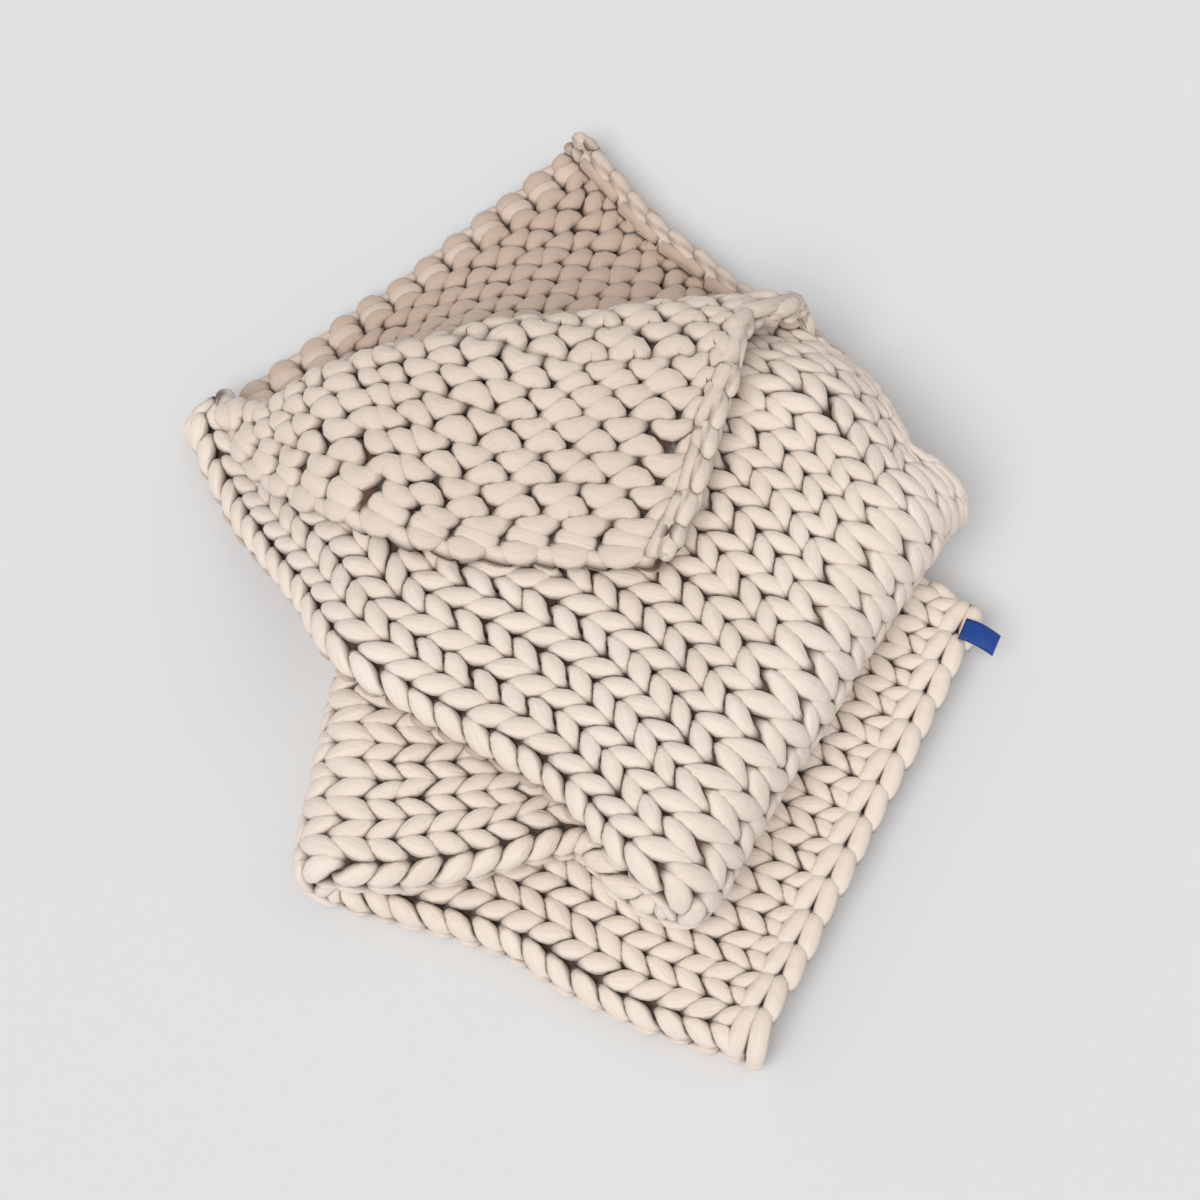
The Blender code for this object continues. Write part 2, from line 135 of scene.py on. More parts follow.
def turnSections(before, lower, upper, start, turns):
    line = unit((lower[far] - lower[near]) * (1, 1, 0))
    outward = np.array([line[1], -line[0], 0])
    if np.dot(outward, lower[near] - before[near]) < 0:
        outward = -outward
    found = []
    for count, angle in enumerate(turnAngles):
        turn = math.radians(angle)
        section = (lower + upper) / 2
        slope = np.zeros_like(section)
        for part in (near, far):
            radius = (upper[part][2] - lower[part][2]) / 2
            section[part] += outward * radius * math.sin(turn)
            section[part.stop - 1] -= radius * math.cos(turn)
            slope[part] = outward * math.cos(turn) + np.array([0, 0, math.sin(turn)])
        section[6] -= (upper[6] - lower[6]) / 2 * math.cos(turn)
        slope[6] = math.sin(turn)
        turns[start + count] = slope
        found.append(section)
    return found[1:-1]


def laySections():
    rows = []
    for row in lays:
        if row is None:
            rows.append(None)
            continue
        start, stop = np.array([row[0], row[1], row[4]]), np.array([row[2], row[3], row[6]])
        start += cloth["ribbonEdge"] * unit((stop - start) * (1, 1, 0))
        rows.append(np.array([*start, *stop, row[5], *row[7:]]))
    sections, turns = [], {}
    for index, row in enumerate(rows):
        if row is None:
            sections += turnSections(rows[index - 2], rows[index - 1], rows[index + 1], len(sections) - 1, turns)
        else:
            sections.append(row)
    return np.array(sections), turns


class Ribbon:
    # middle surface of the double ribbon, with even stitches along every wale
    def __init__(self, rows=401, columns=21):
        self.rows, self.columns = rows, columns
        self.sections, turns = laySections()
        steps = np.diff(self.sections, axis=0)
        spans = (np.linalg.norm(steps[:, near], axis=1) + np.linalg.norm(steps[:, far], axis=1)) / 2
        self.knots = np.concatenate([[0], np.cumsum(spans)])
        slopes = steps / spans[:, None]
        weight = (spans[1:] / (spans[1:] + spans[:-1]))[:, None]
        self.slopes = np.concatenate([slopes[:1], slopes[:-1] * weight + slopes[1:] * (1 - weight), slopes[-1:]])
        for index, slope in turns.items():
            self.slopes[index] = slope
        knots, widths = np.linspace(0, self.knots[-1], rows), np.linspace(0, 1, columns)
        points = self.ruled(knots[:, None] + 0 * widths, widths + 0 * knots[:, None])
        runs = np.cumsum(np.linalg.norm(np.diff(points, axis=0), axis=2), axis=0)
        runs = np.concatenate([np.zeros((1, columns)), runs])
        self.length = runs[-1].mean()
        self.waleShares, self.waleStretches = widths, runs[-1] / runs[-1].mean()
        shares = np.linspace(0, 1, rows)
        self.table = np.stack([np.interp(shares, runs[:, j] / runs[-1, j], knots) for j in range(columns)], 1)

    def stretch(self, w):
        return np.interp(w, self.waleShares, self.waleStretches)

    def ruled(self, knot, w):
        k = np.clip(np.searchsorted(self.knots, knot, side="right") - 1, 0, len(self.knots) - 2)
        h = self.knots[k + 1] - self.knots[k]
        u = ((knot - self.knots[k]) / h)[..., None]
        h = h[..., None]
        line = ((2 * u**3 - 3 * u**2 + 1) * self.sections[k] + (3 * u**2 - 2 * u**3) * self.sections[k + 1]
                + (u**3 - 2 * u**2 + u) * h * self.slopes[k] + (u**3 - u**2) * h * self.slopes[k + 1])
        spread = (w * w * (3 - 2 * w) + line[..., 9] * w * (1 - w) ** 2 - line[..., 10] * w * w * (1 - w))
        share = spread[..., None]
        point = line[..., near] * (1 - share) + line[..., far] * share
        nearZ, farZ, topZ = line[..., 2], line[..., 5], line[..., 6]
        point[..., 2] = (nearZ + (topZ - nearZ) * ease(w, 0, line[..., 7])
                         + (farZ - topZ) * ease(w, line[..., 8], 1))
        return point

    def point(self, along, w):
        w = np.clip(w, 0, 1)
        a = np.clip(along / self.length, 0, 1) * (self.rows - 1)
        return self.ruled(sampled(self.table, a, w * (self.columns - 1)), w)

    def frame(self, along, w):
        step, side = cloth["slopeStep"], 0.01
        forward = (self.point(np.clip(along + step, 0, self.length), w)
                   - self.point(np.clip(along - step, 0, self.length), w))
        sideways = self.point(along, np.clip(w + side, 0, 1)) - self.point(along, np.clip(w - side, 0, 1))
        up = unit(np.cross(sideways, forward))
        return self.point(along, w), unit(np.cross(forward, up)), up


ribbon = Ribbon()
length = ribbon.length
print("cloth length", round(length, 4))


def polar(along, across):
    # distance and angle from the cast-on corner of the lengthwise fold, as the cloth lies
    w = np.clip((np.abs(across) - foldArc) / (halfWidth - foldArc), 0, 1)
    x, y = (length - along) * ribbon.stretch(w), w * corner["width"]
    return np.hypot(x, y), np.arctan2(x, np.maximum(y, 1e-9))


def foldAngle(distance):
    return np.radians(smooth(distance, corner["distances"], corner["angles"]))


def doubleRibbon(along, across):
    a, upperHalf = np.abs(across), across > 0
    w = np.clip((a - foldArc) / (halfWidth - foldArc), 0, 1)
    run = corner["insetRun"]
    inset = corner["inset"] * ease(along, length - run[0], length - run[1]) * upperHalf
    point, sideways, up = ribbon.frame(along, w * (1 - inset))
    turn = np.clip(a / layerGap, 0, math.pi / 2)
    beside = np.where(a < foldArc, -layerGap * np.cos(turn), 0)
    over = layerGap * np.sin(turn) * np.where(upperHalf, 1, -1)
    point = point + sideways * beside[..., None] + up * over[..., None]
    distance, angle = polar(along, across)
    run = corner["liftRun"]
    point[..., 2] += (corner["lift"] * ease(distance, *corner["liftReach"]) * upperHalf
                      * ease(along, length - run[0], length - run[1])
                      * (1 - ease(angle - foldAngle(distance), 0, corner["liftSpread"])))
    return point


def knitSide(surface, along, across):
    step = cloth["slopeStep"]
    forward = (surface(np.clip(along + step, 0, length), across)
               - surface(np.clip(along - step, 0, length), across))
    sideways = (surface(along, np.clip(across + step, -halfWidth, halfWidth))
                - surface(along, np.clip(across - step, -halfWidth, halfWidth)))
    return unit(np.cross(sideways, forward))


def turnedBack(along, across):
    point = doubleRibbon(along, across)
    distance, angle = polar(along, across)
    roll = corner["rollSmall"] + (corner["rollLarge"] - corner["rollSmall"]) * ease(distance, *corner["rollGrows"])
    start = roll * (1 - np.exp(-(distance / (1.2 * roll)) ** 2))
    bend = foldAngle(distance)
    arc = distance * (bend - angle) + start
    turned = (arc > 0) & (across > foldArc)
    if not turned.any():
        return point
    arc, roll, start, distance, bend = (value[turned] for value in (arc, roll, start, distance, bend))
    past = np.maximum(arc - math.pi * roll, 0)
    share = smooth(distance, corner["distances"], corner["shares"])
    back = np.where(past > 0, -share * past, roll * np.sin(np.minimum(arc / roll, math.pi)))
    fade = np.exp(-(past / corner["settle"]) ** 2)
    height = np.where(past > 0, 2 * roll * fade + corner["height"] * (1 - fade),
                      roll * (1 - np.cos(np.minimum(arc / roll, math.pi))))
    lands = bend + (start - back) / np.maximum(distance, 1e-6)
    reach = distance * (1 + corner["stretch"] * ease(past, 0, corner["stretchLength"]))
    w = np.clip(reach * np.cos(lands) / corner["width"], -0.045, 1)
    belowAlong = np.minimum(length - reach * np.sin(lands) / ribbon.stretch(np.maximum(w, 0)), length)
    belowAcross = np.maximum(foldArc + w * (halfWidth - foldArc), foldArc * 0.2)
    below = doubleRibbon(belowAlong, belowAcross)
    point[turned] = below + knitSide(doubleRibbon, belowAlong, belowAcross) * height[:, None]
    return point


def clothPoint(along, across):
    along, across = np.broadcast_arrays(np.asarray(along, float), np.asarray(across, float))
    point = turnedBack(along, across)
    lower, upper = curl["runLower"], curl["runUpper"]
    bend = (ease(along, length - lower[0], length - lower[1]) * (across < 0)
            + ease(along, length - upper[0], length - upper[1]) * (across > 0)) / curl["radius"]
    rolled = (np.abs(across) > halfWidth - curl["width"]) & (bend > 1e-2)
    if not rolled.any():
        return point
    at, bend, side = along[rolled], bend[rolled], np.sign(across[rolled])
    root, step = side * (halfWidth - curl["width"]), cloth["slopeStep"]
    start = turnedBack(at, root)
    outward = unit(start - turnedBack(at, root - side * step))
    forward = turnedBack(np.clip(at + step, 0, length), root) - turnedBack(np.clip(at - step, 0, length), root)
    knit = unit(np.cross(outward * side[:, None], forward))
    turn = (np.abs(across[rolled]) - np.abs(root)) * bend
    point[rolled] = start + outward * (np.sin(turn) / bend)[:, None] - knit * ((1 - np.cos(turn)) / bend)[:, None]
    return point


def onSurface(along, across, height):
    # a point over the cloth's middle, height towards its knit side, and the normal there
    middle = clothPoint(along, across)
    normal = knitSide(clothPoint, along, across)
    wave = cloth["waveHeight"] * (np.sin(along * 31 + across * 17 + 1.0) + np.sin(across * 41 - along * 13)
                                  + 0.6 * np.sin(along * 57 - across * 33 + 2.0)) / 2
    return middle + normal * (height + wave)[..., None], normal


# the turned-back corner gives unevenly, and its stitches spread out to share that
spread = {"run": 0.44, "rows": 60, "columns": 58, "blend": 0.10, "depth": 0.004, "rounds": 7}


def spreadTables():
    a, b = np.meshgrid(np.linspace(length - spread["run"], length, spread["rows"]),
                       np.linspace(0, halfWidth, spread["columns"]), indexing="ij")
    points = onSurface(a, b, np.full_like(a, -spread["depth"]))[0]
    tables = []
    for axis, places in ((0, a), (1, b)):
        pace = evened(np.linalg.norm(np.gradient(points, axis=axis), axis=2), spread["rounds"])
        runs = np.cumsum(pace, axis) - pace.take([0], axis)
        runs /= runs.take([-1], axis)
        even = np.linspace(0, 1, places.shape[axis])
        table = np.empty_like(places)
        for k in range(places.shape[1 - axis]):
            line = (slice(None), k) if axis == 0 else (k, slice(None))
            table[line] = np.interp(even, runs[line], places[line])
        tables.append(evened(table - places, spread["rounds"]))
    return tables


alongShift, acrossShift = spreadTables()


def shifted(table, along, across):
    i = np.clip((along - length + spread["run"]) / spread["run"], 0, 1) * (spread["rows"] - 1)
    return sampled(table, i, np.clip(across / halfWidth, 0, 1) * (spread["columns"] - 1))


def onCloth(along, across, height):
    along, across = np.broadcast_arrays(np.asarray(along, float), np.asarray(across, float))
    inward = ease(across, 0, spread["blend"])
    fromEnd = ease(along, length - spread["run"], length - spread["run"] + spread["blend"])
    moved = np.minimum(along + inward * fromEnd * shifted(alongShift, along, across), length)
    aside = np.minimum(across + inward * fromEnd * shifted(acrossShift, moved, across), halfWidth)
    return onSurface(moved, aside, height)


def linear(hexColour):
    channels = [int(hexColour[i:i + 2], 16) / 255 for i in (1, 3, 5)]
    return [c / 12.92 if c <= 0.04045 else ((c + 0.055) / 1.055) ** 2.4 for c in channels] + [1.0]


def addNode(tree, kind, links=(), **settings):
    node = tree.nodes.new(kind)
    for name, value in settings.items():
        if hasattr(node, name):
            setattr(node, name, value)
        else:
            node.inputs[name.replace("_", " ")].default_value = value
    for socket, source in links:
        tree.links.new(source, node.inputs[socket])
    return node


def newMaterial(name):
    material = bpy.data.materials.new(name)
    material.use_nodes = True
    return material, material.node_tree, material.node_tree.nodes["Principled BSDF"]


def cottonTube():
    # fat tube of cotton jersey with a soft filling: matte, with fine lines along its length
    # where the jersey's wales run, small dents, and a bloom of short fibres
    material, tree, shader = newMaterial("cotton_jersey_tube")
    shader.inputs["Roughness"].default_value = 0.92
    shader.inputs["Specular IOR Level"].default_value = 0.25
    shader.inputs["Sheen Weight"].default_value = 0.25
    shader.inputs["Sheen Roughness"].default_value = 0.6
    uv = addNode(tree, "ShaderNodeUVMap", uv_map="yarn")
    lines = addNode(tree, "ShaderNodeMapping", [("Vector", uv.outputs["UV"])])
    lines.inputs["Scale"].default_value = (28, 420, 1)        # lines about 2.4 mm apart, 35 mm long
    fine = addNode(tree, "ShaderNodeTexNoise", [("Vector", lines.outputs["Vector"])],
                   Scale=1.0, Detail=3.0, Roughness=0.6)
    place = addNode(tree, "ShaderNodeTexCoord")
    dents = addNode(tree, "ShaderNodeTexNoise", [("Vector", place.outputs["Object"])],
                    Scale=70.0, Detail=2.0, Roughness=0.5)      # dents about 14 mm wide
    tone = addNode(tree, "ShaderNodeTexNoise", [("Vector", place.outputs["Object"])],
                   Scale=9.0, Detail=3.0, Roughness=0.6)        # dye and dust, about 110 mm wide
    mixed = addNode(tree, "ShaderNodeMath", [(0, tone.outputs["Fac"]), (1, fine.outputs["Fac"])], operation="ADD")
    ramp = addNode(tree, "ShaderNodeValToRGB", [("Fac", mixed.outputs["Value"])])
    ramp.color_ramp.elements[0].position, ramp.color_ramp.elements[1].position = 0.30, 0.70
    ramp.color_ramp.elements[0].color, ramp.color_ramp.elements[1].color = linear("#e1d1c2"), linear("#f1e4d8")
    # the yarn is one colour all over; the side that is folded in is set darker, for the shade it lies in
    inward = addNode(tree, "ShaderNodeAttribute", attribute_name="inside")
    foldedInShadeMix = addNode(tree, "ShaderNodeMix", [("Factor", inward.outputs["Fac"])], data_type="RGBA")
    foldedInShadeMix.inputs[7].default_value = linear("#c6af9d")
    tree.links.new(ramp.outputs["Color"], foldedInShadeMix.inputs[6])
    half = addNode(tree, "ShaderNodeMath", [(0, mixed.outputs["Value"])], operation="MULTIPLY")
    half.inputs[1].default_value = 0.5
    tree.links.new(half.outputs["Value"], ramp.inputs["Fac"])
    # the sides that lie deep between their neighbours are set warmer and darker, for their shade
    openness = addNode(tree, "ShaderNodeAttribute", attribute_name="openness")
    pressed = addNode(tree, "ShaderNodeMapRange", [("Value", openness.outputs["Fac"])],
                      From_Min=0.004, From_Max=0.0125)
    # and the line where two yarns meet, a few millimetres wide, gets the same painted shade
    meeting = addNode(tree, "ShaderNodeAmbientOcclusion", Distance=0.005, samples=6)
    aoOpen = addNode(tree, "ShaderNodeMapRange", [("Value", meeting.outputs["AO"])], From_Min=0.24, From_Max=0.82)
    unshadedShare = addNode(tree, "ShaderNodeMath", [(0, pressed.outputs["Result"]), (1, aoOpen.outputs["Result"])],
                    operation="MULTIPLY")
    # mix towards the dark warm colour of the painted shade
    tint = addNode(tree, "ShaderNodeMix", [("Factor", unshadedShare.outputs["Value"])], data_type="RGBA")
    tint.inputs[6].default_value = linear("#5f4635")
    tree.links.new(foldedInShadeMix.outputs[2], tint.inputs[7])
    tree.links.new(tint.outputs[2], shader.inputs["Base Color"])
    low = addNode(tree, "ShaderNodeBump", [("Height", dents.outputs["Fac"])], Strength=0.45, Distance=0.004)
    bump = addNode(tree, "ShaderNodeBump", [("Height", fine.outputs["Fac"]), ("Normal", low.outputs["Normal"])],
                   Strength=0.8, Distance=0.0013)
    tree.links.new(bump.outputs["Normal"], shader.inputs["Normal"])
    return material


yarnMaterial = cottonTube()


def tubeMesh(name, paths, material):
    # paths: (points, normals, heights, halfWidths, halfHeights, bare, within, closed); one closed skin for
    # each. bare adds to the height over the cloth's middle that "openness" keeps, so that yarn in the open gets
    # less painted shade, and within is its share of the painted shade of the side that is folded in
    sides = knit["sides"]
    angles = np.arange(sides) / sides * 2 * math.pi
    verts, faces, uvs, openness, inside = [], [], [], [], []
    for points, normals, heights, wide, thick, bare, within, closed in paths:
        count = len(points)
        if closed:
            tangent = np.roll(points, -1, 0) - np.roll(points, 1, 0)
        else:
            tangent = np.gradient(points, axis=0)
        tangent = unit(tangent)
        side = unit(np.cross(tangent, normals))
        up = np.cross(side, tangent)
        ring = (points[:, None] + side[:, None] * (wide[:, None] * np.cos(angles))[..., None]
                + up[:, None] * (thick[:, None] * np.sin(angles))[..., None])
        above = np.einsum("ijk,ik->ij", ring - points[:, None], normals) + heights[:, None]
        openness.append((np.abs(above) + (bare * np.ones(count))[:, None]).ravel())
        inside.append(np.repeat(within * np.ones(count), sides))
        start = sum(len(block) for block in verts)
        verts.append(ring.reshape(-1, 3))
        run = np.concatenate([[0], np.cumsum(np.linalg.norm(np.diff(points, axis=0), axis=1))])
        girth = math.pi * (wide.mean() + thick.mean())
        last = count if closed else count - 1
        for i in range(last):
            low, high = start + i * sides, start + (i + 1) % count * sides
            v0, v1 = run[i], run[i + 1] if i + 1 < count else run[i] + run[1]
            for k in range(sides):
                n = (k + 1) % sides
                faces.append((low + k, low + n, high + n, high + k))
                u0, u1 = girth * k / sides, girth * (k + 1) / sides
                uvs += [(v0, u0), (v0, u1), (v1, u1), (v1, u0)]
        if not closed:
            for row, order in ((0, -1), (count - 1, 1)):
                cap = [start + row * sides + k for k in range(sides)][::order]
                faces.append(tuple(cap))
                uvs += [(run[row] + wide[0] * math.cos(a), wide[0] * math.sin(a)) for a in angles]
    mesh = bpy.data.meshes.new(name)
    mesh.from_pydata(np.concatenate(verts).tolist(), [], faces)
    layer = mesh.uv_layers.new(name="yarn")
    layer.data.foreach_set("uv", np.array(uvs).ravel())
    for title, values in (("openness", openness), ("inside", inside)):
        mesh.attributes.new(title, "FLOAT", "POINT").data.foreach_set("value", np.concatenate(values))
    mesh.update()
    mesh.materials.append(material)
    mesh.shade_smooth()
    thing = bpy.data.objects.new(name, mesh)
    bpy.context.scene.collection.objects.link(thing)
    return thing


knit = {
    "wales": 14,                  # on each half
    "courses": 58, "tighter": 0.06,     # courses are this share closer at the cast-off end, wider at the other
    "firstCourse": 0.040,         # middle of the last knitted course, from the cast-off edge
    "lastCourse": 0.026,          # middle of the first one, from the cast-on edge
    "selvedge": 0.008,            # room for the yarn at each selvedge
    "swing": 0.265,               # how far a loop's legs lean, in stitches
    "reach": 0.87, "peak": -0.02,       # half the loop's height, in courses, and how round its ends are
    "purl": {"swing": 0.22, "reach": 0.72, "peak": 0.14, "depth": 0.0086, "flat": 0.1, "waist": 0.30,
             "halfWidth": 0.0120},          # the same where the purl side shows and the knit is slacker
    "depth": 0.0072, "flat": 0.30,      # legs in front of the middle, heads behind it
    "halfWidth": 0.0111, "halfHeight": 0.0086,
    "waist": 0.47,                # how much it is squeezed where a leg dives behind
    "swell": 0.85,                # how far the yarn fills out where the cloth is stretched
    "flatten": 2.2, "slack": 1.10, "leastDepth": 0.3,    # how far the loops lie down where it is, and from when
    "sizes": (0.72, 1.4),         # the least and the most the yarn's width changes by, before swell
    "bare": 0.010, "bareRun": (0.035, 0.012),            # how much less painted shade the yarn near a selvedge gets, as if it lay more open
    "backFromCastOn": 0.009,      # how the last loops keep off the cast-on edge
    "segments": 26, "sides": 10, "bands": 5,
    "uneven": 0.0012,
}
waleWidth = (halfWidth - knit["selvedge"]) / knit["wales"]
coursePitch = (length - knit["firstCourse"] - knit["lastCourse"]) / (knit["courses"] - 1)
print("stitch", round(waleWidth, 4), round(coursePitch, 4))


def courseCentre(row):
    # where a course's middle lies along the cloth; row may lie between courses
    t = row / (knit["courses"] - 1)
    return knit["firstCourse"] + coursePitch * (knit["courses"] - 1) * (t - knit["tighter"] * t * (1 - t))


def smoothNoise(positions, amount):
    count = int(positions.max() - positions.min()) + 3
    values = randomSource.normal(0, amount, count)
    at = positions - positions.min()
    i = at.astype(int)
    t = at - i
    t = t * t * (3 - 2 * t)
    return values[i] * (1 - t) + values[i + 1] * t


# where the purl side shows: past the fold line of the turned-back corner, and on half A near the cast-on edge
innerSide = {"pastFold": (-0.02, 0.03), "fromCastOn": (0.80, 0.70), "cornerShade": 0.30, "pocketShade": 0.95}


def purlShown(along, across):
    # 1 on half A inside lay 3 and on the turned-back corner, 0 elsewhere
    distance, angle = polar(along, across)
    turned = ease(distance * (foldAngle(distance) - angle), *innerSide["pastFold"])
    start, stop = (length - place for place in innerSide["fromCastOn"])
    return np.where(across > 0, turned, ease(along, start, stop))


def innerShade(along, across):
    # painted shade for the inner side, most where it lies between the halves
    return purlShown(along, across) * np.where(across > 0, innerSide["cornerShade"], innerSide["pocketShade"])


def courseLine(row):
    # one course as across, along and depth, from one selvedge to the other
    wales, segments = knit["wales"], knit["segments"]
    s = np.linspace(-wales, wales, 2 * wales * segments + 1)
    t = s - np.floor(s)
    purl = purlShown(np.full_like(s, courseCentre(row)), s * waleWidth)
    swing, reach, peak, depth, flat, waist, halfYarn = (
        knit[key] + (knit["purl"][key] - knit[key]) * purl
        for key in ("swing", "reach", "peak", "depth", "flat", "waist", "halfWidth"))
    across = (s + swing * np.sin(4 * math.pi * t)) * waleWidth
    along = courseCentre(row + reach * (np.cos(2 * math.pi * t) + peak * np.cos(6 * math.pi * t)))
    depth = -depth * ((1 + flat) * np.cos(4 * math.pi * t) - flat * np.cos(12 * math.pi * t))
    uneven = knit["uneven"]
    across += smoothNoise(s * 4, uneven)
    along += smoothNoise(s * 4, uneven)
    depth += smoothNoise(s * 4, uneven * 0.5)
    squeeze = 1 - waist * np.sin(4 * math.pi * t) ** 2
    wide = halfYarn * squeeze * (1 + smoothNoise(s * 2, 0.05))
    thick = knit["halfHeight"] * (0.4 + 0.6 * squeeze) * (1 + smoothNoise(s * 2, 0.03))
    return across, along, depth, wide, thick


def selvedgeTurn(row, side):
    # the yarn climbs from this course's last foot to the next course's first
    t = np.linspace(0.12, 0.88, 7)
    across = side * (knit["wales"] * waleWidth + 0.004 * np.sin(math.pi * t))
    along = courseCentre(row + knit["reach"] - t)
    depth = np.full_like(t, -knit["depth"])
    return across, along, depth, np.full_like(t, knit["halfWidth"] * 0.85), np.full_like(t, knit["halfHeight"])


def stretchTable(depth, rows=241, columns=121):
    # how many times its own size the cloth is at this depth, on an even grid
    a, b = np.meshgrid(np.linspace(0, length, rows), np.linspace(-halfWidth, halfWidth, columns), indexing="ij")
    points = onCloth(a, b, np.full_like(a, depth))[0]
    down = np.linalg.norm(np.gradient(points, axis=0), axis=2) * (rows - 1) / length
    over = np.linalg.norm(np.gradient(points, axis=1), axis=2) * (columns - 1) / (2 * halfWidth)
    return evened(np.sqrt(down * over), 2)


stretchTables = [stretchTable(-knit["depth"]), stretchTable(knit["depth"])]


def stretched(along, across, depth):
    # how many times its own size the cloth is at a place
    rows, columns = stretchTables[0].shape
    a = np.clip(along / length, 0, 1) * (rows - 1)
    b = np.clip((across + halfWidth) / (2 * halfWidth), 0, 1) * (columns - 1)
    values = [sampled(table, a, b) for table in stretchTables]
    share = np.clip(depth / knit["depth"], -1, 1) / 2 + 0.5
    return values[0] * (1 - share) + values[1] * share


def laid(along, across, depth):
    # yarn on the cloth: its points, normals and depth, and how many times its own width it is
    over = stretched(along, across, depth)
    shallow = np.clip(1 - knit["flatten"] * (over - knit["slack"]), knit["leastDepth"], 1)
    points, normals = onCloth(along, across, depth * shallow)
    return points, normals, depth, np.clip(1 + (over - 1) * shallow ** 0.5, *knit["sizes"]) ** knit["swell"]


def knitBand(name, rows):
    lines = []
    for number, row in enumerate(rows):
        line = courseLine(row)
        if number % 2:
            line = tuple(value[::-1] for value in line)
        lines.append(line)
        if number + 1 < len(rows):
            side = -1 if number % 2 else 1
            turn = selvedgeTurn(rows[number + 1], side)
            lines.append(tuple(value[::-1] for value in turn))
    across, along, depth, wide, thick = (np.concatenate(values) for values in zip(*lines))
    # the last loops are held back where the cast-on edge winds round them
    along = length - (length - along + np.sqrt((length - along) ** 2 + 4 * knit["backFromCastOn"] ** 2)) / 2
    points, normals, depth, size = laid(along, across, depth)
    bare = knit["bare"] * ease(np.abs(across), *(halfWidth - edge for edge in knit["bareRun"]))
    return tubeMesh(name, [(points, normals, depth, wide * size, thick * size ** 0.5, bare,
                            innerShade(along, across), False)], yarnMaterial)


pressed = {"sink": 0.0018, "reach": 0.03}


def settle(thing):
    # what rests on the floor is pressed flat on it
    count = len(thing.data.vertices)
    points = np.empty(count * 3)
    thing.data.vertices.foreach_get("co", points)
    points = points.reshape(-1, 3)
    points[:, 2] -= pressed["sink"] * np.clip(1 - points[:, 2] / pressed["reach"], 0, 1)
    points[:, 2] = np.maximum(points[:, 2], 0.0)
    thing.data.vertices.foreach_set("co", points.ravel())
    thing.data.update()


def dress(thing, node="knit_blanket"):
    settle(thing)
    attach(thing, "root")
    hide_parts(node)


edges = np.linspace(0, knit["courses"], knit["bands"] + 1).round().astype(int)
for band in range(knit["bands"]):
    rows = list(range(edges[band], edges[band + 1]))[::-1]
    thing = knitBand("knit_band_%d" % (band + 1), rows)
    dress(thing)
    print(thing.name, len(thing.data.polygons), "faces")


# the last stitch of every course leans over the selvedge as a leaf, like the strands of a rope
selvedge = {"inside": 0.0075, "length": 0.86, "halfWidth": 0.0112, "halfHeight": 0.0102, "lean": 0.0062,
            "twist": 0.0065, "turn": 1.5, "down": 0.001, "margin": 0.003, "bare": 0.008, "shade": 0.5,
            "scatter": 0.05, "tip": 0.25, "segments": 15}


def selvedgeLeaves():
    paths = []
    t = np.linspace(-1, 1, selvedge["segments"])
    for side in (-1, 1):
        for row in range(knit["courses"]):
            middle = row + randomSource.normal(0, selvedge["scatter"])
            along = courseCentre(middle + t * selvedge["length"])
            along = np.clip(along, selvedge["margin"], length - selvedge["margin"])
            across = side * (halfWidth - selvedge["inside"] + selvedge["lean"] * np.sin(selvedge["turn"] * t))
            depth = selvedge["twist"] * np.sin(selvedge["turn"] * t) - selvedge["down"]
            size = np.sqrt(np.clip(1 - t ** 2, 0, 1)) * (1 - selvedge["tip"]) + selvedge["tip"]
            points, normals = onCloth(along, across, depth)
            paths.append((points, normals, depth, selvedge["halfWidth"] * size, selvedge["halfHeight"] * size,
                          selvedge["bare"], innerShade(along, across) * selvedge["shade"], False))
    return tubeMesh("selvedge_stitches", paths, yarnMaterial)


leaves = selvedgeLeaves()
dress(leaves)
print(leaves.name, len(leaves.data.polygons), "faces")


# the cast-off edge: a chain along each half
chain = {
    "centre": 0.0205,             # from the cast-off edge
    "length": 0.048, "halfGap": 0.0118,   # a link's length, and how far its ends stand from the middle
    "raise": 0.0110, "dip": 0.0085,       # its height over the cloth's middle, and how far its ends go down
    "under": 0.010, "underRun": 0.06,     # how much further in it lies on half A
    "lead": 0.55,                         # how far a point stands past its stitch, in stitches
    "curve": 1.3,                         # how the arms bend
    "halfWidth": 0.0104, "halfHeight": 0.0086, "tip": 0.55,
    "scatter": (0.0008, 0.0006, 0.03),    # of its place across, its place along and its size
    "margin": 0.004, "bare": 0.002, "segments": 33,
}


def chainLinks():
    # each link is a V that opens towards the fold, its point between the arms of the next
    paths = []
    t = np.linspace(-1, 1, chain["segments"])
    arm = np.abs(t)
    acrossScatter, alongScatter, sizeScatter = chain["scatter"]
    ends = np.clip(1 - arm / 0.35, 0, 1) ** 2 + np.clip((arm - 0.7) / 0.3, 0, 1) ** 2
    fullness = np.sqrt(np.clip(1 - ((arm - 0.52) / 0.52) ** 2, 0, 1))
    for link in range(-knit["wales"], knit["wales"]):
        side = 1 if link >= 0 else -1
        point = (link + 0.5) * waleWidth + side * chain["lead"] * waleWidth + randomSource.normal(0, acrossScatter)
        across = point - side * chain["length"] * arm ** chain["curve"]
        apart = np.sign(t) * (0.45 * np.minimum(arm / 0.10, 1) + 0.55 * ease(arm, 0.05, 0.95))
        along = chain["centre"] + chain["halfGap"] * apart + randomSource.normal(0, alongScatter) + (
            chain["under"] * ease(-across, 0, chain["underRun"]))
        depth = chain["raise"] - chain["dip"] * ends
        across = np.clip(across, -halfWidth + chain["margin"], halfWidth - chain["margin"])
        points, normals = onCloth(along, across, depth)
        size = (chain["tip"] + (1 - chain["tip"]) * fullness) * (1 + randomSource.normal(0, sizeScatter))
        paths.append((points, normals, depth, chain["halfWidth"] * size, chain["halfHeight"] * size,
                      chain["bare"], 0, False))
    return tubeMesh("cast_off_chain", paths, yarnMaterial)


links = chainLinks()
dress(links)
print(links.name, len(links.data.polygons), "faces")


